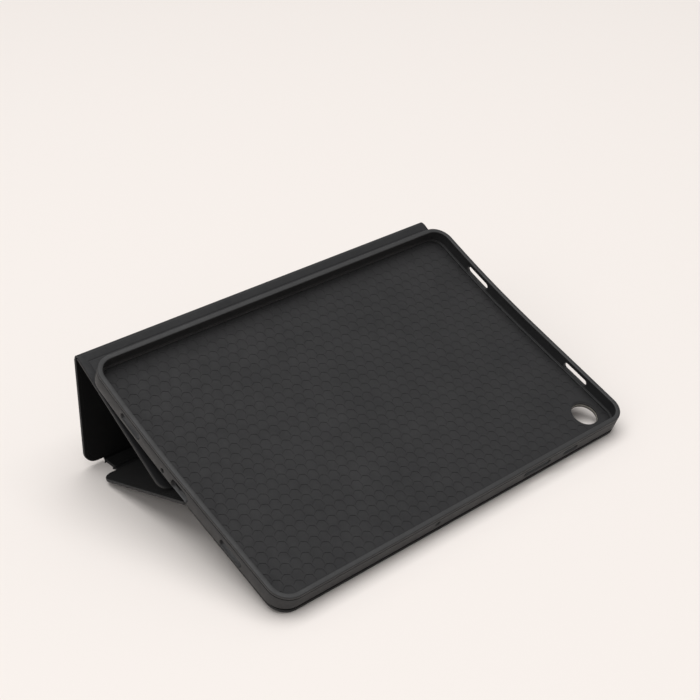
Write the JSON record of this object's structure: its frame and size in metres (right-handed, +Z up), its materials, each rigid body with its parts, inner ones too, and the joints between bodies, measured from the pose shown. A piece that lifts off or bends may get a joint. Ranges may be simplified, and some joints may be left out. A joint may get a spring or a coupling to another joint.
{
  "type": "tablet case",
  "caption": "Folding tablet case set up as a low stand: a soft tray with a raised rim, glued to a folio of back flap, spine and two-part cover.",
  "frame": {"origin": "middle of the footprint, on the surface the stand rests on", "axes": "+X along the long side, +Y from the low front edge to the spine, +Z up"},
  "size_m": [0.262, 0.179, 0.0784],
  "materials": {
    "tray": "satin moulded soft plastic",
    "outer_skin": "fine matte grain",
    "lining": "short nap",
    "board": "matte",
    "adhesive": "satin",
    "magnet": "plated"
  },
  "bodies": {
    "spine": {"spine_skin": "outer_skin", "spine_board": "board", "spine_lining": "lining"},
    "back_flap": {"back_flap_skin": "outer_skin", "back_flap_board": "board", "back_flap_lining": "lining", "keeper_magnet_1": "magnet", "keeper_magnet_2": "magnet", "keeper_magnet_3": "magnet"},
    "tray": {"tray_shell": "tray", "tray_bond_film": "adhesive", "back_plate_skin": "outer_skin", "back_plate_board": "board"},
    "cover_spine_half": {"cover_spine_half_skin": "outer_skin", "cover_spine_half_board": "board", "cover_spine_half_lining": "lining"},
    "cover_free_half": {"cover_free_half_skin": "outer_skin", "cover_free_half_board": "board", "cover_free_half_lining": "lining", "cover_magnet_1": "magnet", "cover_magnet_2": "magnet", "cover_magnet_3": "magnet", "wake_magnet": "magnet"}
  },
  "joints": [
    {"name": "flap_fold", "type": "hinge", "parent": "spine", "child": "back_flap", "pos_m": [0, 0.0742, 0.00035], "axis": [-1, 0, 0], "range_deg": [0, 45]},
    {"name": "tray_fold", "type": "hinge", "parent": "back_flap", "child": "tray", "pos_m": [0, -0.01095, 0.02839], "axis": [1, 0, 0], "range_deg": [0, 90]},
    {"name": "cover_fold", "type": "hinge", "parent": "spine", "child": "cover_spine_half", "pos_m": [0, 0.0892, 0.00035], "axis": [-1, 0, 0], "range_deg": [0, 91.49]},
    {"name": "ridge_fold", "type": "hinge", "parent": "cover_spine_half", "child": "cover_free_half", "pos_m": [0, 0.0853, 0.07335], "axis": [1, 0, 0], "range_deg": [0, 52.04]}
  ],
  "couplings": [
    {"joint": "tray_fold", "follows": "flap_fold", "ratio": 2},
    {"joint": "cover_fold", "follows": "flap_fold", "ratio": 2.0331},
    {"joint": "ridge_fold", "follows": "flap_fold", "ratio": 1.1564}
  ]
}
